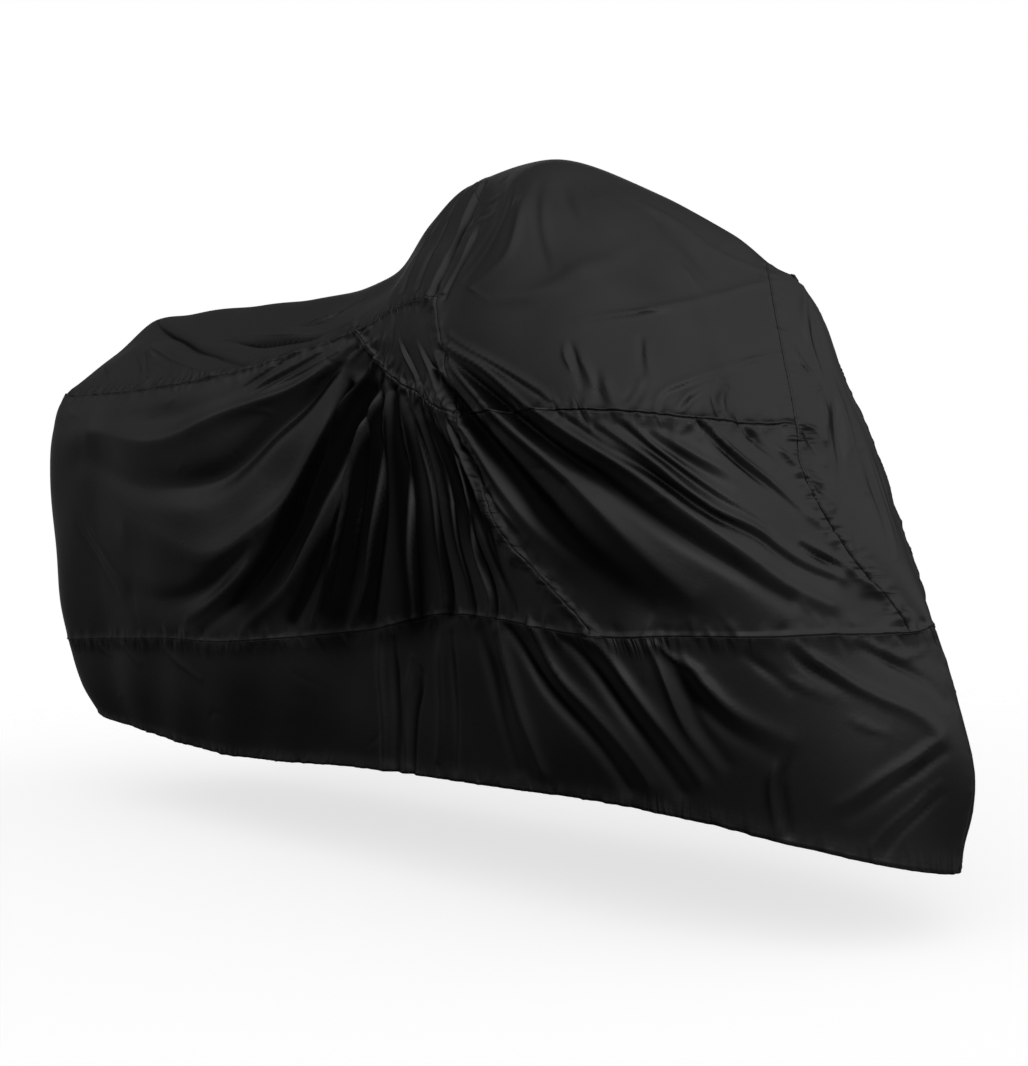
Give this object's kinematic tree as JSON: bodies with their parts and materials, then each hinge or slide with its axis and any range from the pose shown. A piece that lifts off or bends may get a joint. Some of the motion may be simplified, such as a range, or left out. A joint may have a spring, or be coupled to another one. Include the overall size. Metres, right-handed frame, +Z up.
{
  "type": "motorcycle cover",
  "caption": "Fitted motorcycle cover of thin sewn cloth panels: tall rounded hood over the bars, lower back over the seat, folds gathered at the waist, hollow inside and open along its hem.",
  "frame": {"origin": "underside of the hood's crown, on the middle plane, where the cover rests on what it covers", "axes": "+X forward to the nose, +Y to the left side, +Z up"},
  "size_m": [2.4786, 0.7329, 1.3828],
  "materials": {
    "cloth": "black coated woven cloth with a soft satin sheen"
  },
  "bodies": {
    "root": {"rear_top_panel": "cloth", "hood_panel": "cloth", "front_panel": "cloth", "side_gusset_right": "cloth", "rear_side_panel_right": "cloth", "front_side_panel_right": "cloth", "skirt_right": "cloth", "side_gusset_left": "cloth", "rear_side_panel_left": "cloth", "front_side_panel_left": "cloth", "skirt_left": "cloth"}
  },
  "joints": []
}
